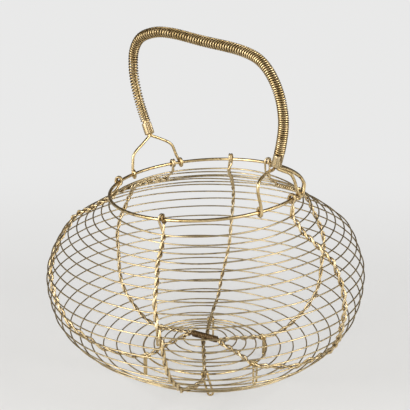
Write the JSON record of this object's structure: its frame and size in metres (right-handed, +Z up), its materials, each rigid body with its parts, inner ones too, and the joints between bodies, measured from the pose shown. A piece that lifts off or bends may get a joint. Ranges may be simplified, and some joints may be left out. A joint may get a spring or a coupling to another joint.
{
  "type": "wire egg basket",
  "caption": "Round-bodied wire egg basket of thin hoops between twisted ribs, with hairpin feet, a ring rim and a forked carrying bail with a wound wire grip",
  "frame": {"origin": "on the floor under the middle of the whole basket's box", "axes": "+Z up, -Y towards the pictured side, +X to the picture's right, where the rim stands higher"},
  "size_m": [0.2808, 0.2808, 0.303],
  "materials": {
    "wire": "aged, dull satin",
    "hoop": "aged, dull",
    "hub": "dark, rough"
  },
  "bodies": {
    "basket": {"bottom_hoop_1": "hoop", "bottom_hoop_2": "hoop", "bottom_hoop_3": "hoop", "bottom_hoop_4": "hoop", "foot_ring": "wire", "body_hoop_01": "hoop", "body_hoop_02": "hoop", "body_hoop_03": "hoop", "body_hoop_04": "hoop", "body_hoop_05": "hoop", "body_hoop_06": "hoop", "body_hoop_07": "hoop", "body_hoop_08": "hoop", "body_hoop_09": "hoop", "body_hoop_10": "hoop", "body_hoop_11": "hoop", "body_hoop_12": "hoop", "body_hoop_13": "hoop", "body_hoop_14": "hoop", "body_hoop_15": "hoop", "body_hoop_16": "hoop", "body_hoop_17": "hoop", "body_hoop_18": "hoop", "body_hoop_19": "hoop", "body_hoop_20": "hoop", "neck_ring": "wire", "rim_ring": "wire", "hub_bar": "hub", "rib_front_wire_a": "wire", "rib_front_wire_b": "wire", "rib_back_wire_a": "wire", "rib_back_wire_b": "wire", "rib_back_left_wire_a": "wire", "rib_back_left_wire_b": "wire", "rib_back_right_wire_a": "wire", "rib_back_right_wire_b": "wire", "rib_left_wire_a": "wire", "rib_left_wire_b": "wire", "rib_right_wire_a": "wire", "rib_right_wire_b": "wire", "lacing_wire": "wire", "foot_front": "wire", "foot_back": "wire", "foot_back_left": "wire", "foot_back_right": "wire", "foot_left": "wire", "foot_right": "wire"},
    "bail": {"bail_wire_back": "wire", "bail_wire_front": "wire", "bail_wire_short": "wire", "grip_sleeve_left": "wire", "grip_sleeve_right": "wire", "grip_winding": "wire"}
  },
  "joints": [
    {"name": "bail_round_rim", "type": "hinge", "parent": "basket", "child": "bail", "pos_m": [0.00002, 0, 0.1715], "axis": [-0.0698, 0, 0.9976], "range_deg": [-3, 2]}
  ]
}
